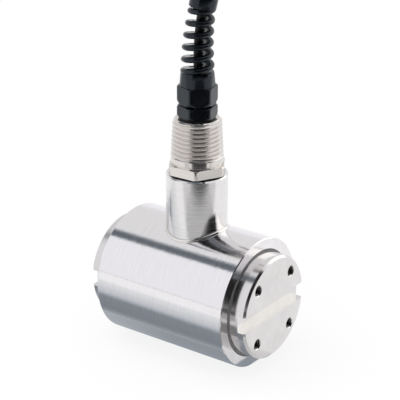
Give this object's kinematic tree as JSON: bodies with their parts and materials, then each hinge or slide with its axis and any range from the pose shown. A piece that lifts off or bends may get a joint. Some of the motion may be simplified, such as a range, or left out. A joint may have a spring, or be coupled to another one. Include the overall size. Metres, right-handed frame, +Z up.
{
  "type": "static torque sensor",
  "caption": "Static torque sensor: steel tube round a slotted measuring body with bolted faces, upright neck with threaded nipple, cable gland, spiral bend protector and coiled cable.",
  "frame": {"origin": "centre of the rear mounting face, on the torque axis", "axes": "+X along the torque axis from the rear mounting face to the front one, +Z up the cable neck"},
  "size_m": [0.0954, 0.1028, 0.1821],
  "materials": {
    "face_steel": "finely turned stainless steel",
    "tube_steel": "brushed stainless steel, lines round the tube",
    "neck_steel": "fine turned stainless steel",
    "weld_steel": "smooth weld bead",
    "nipple_steel": "machined stainless steel",
    "gland_nylon": "satin moulded nylon",
    "seal_rubber": "plain rubber",
    "cable_sheath": "satin cable sheath",
    "board_laminate": "coated board",
    "spacer_brass": "plain brass",
    "screw_steel": "plain steel",
    "gauge_film": "amber film",
    "core_red": "insulation",
    "core_white": "insulation",
    "core_green": "insulation",
    "core_black": "insulation"
  },
  "bodies": {
    "root": {"measuring_body": "face_steel", "housing_tube": "tube_steel", "seal_ring_rear": "seal_rubber", "seal_ring_front": "seal_rubber", "cable_neck": "neck_steel", "neck_weld": "weld_steel", "nipple_seal": "seal_rubber", "conduit_nipple": "nipple_steel", "gland_washer": "seal_rubber", "gland_body": "gland_nylon", "gland_insert": "seal_rubber", "gland_nut": "gland_nylon", "cable_entry": "cable_sheath", "cable_run": "cable_sheath", "cable_coil": "cable_sheath", "terminal_board": "board_laminate", "board_spacers": "spacer_brass", "board_screws": "screw_steel", "gauge_top": "gauge_film", "gauge_left": "gauge_film", "gauge_bottom": "gauge_film", "gauge_right": "gauge_film", "core_red": "core_red", "core_white": "core_white", "core_green": "core_green", "core_black": "core_black"}
  },
  "joints": []
}
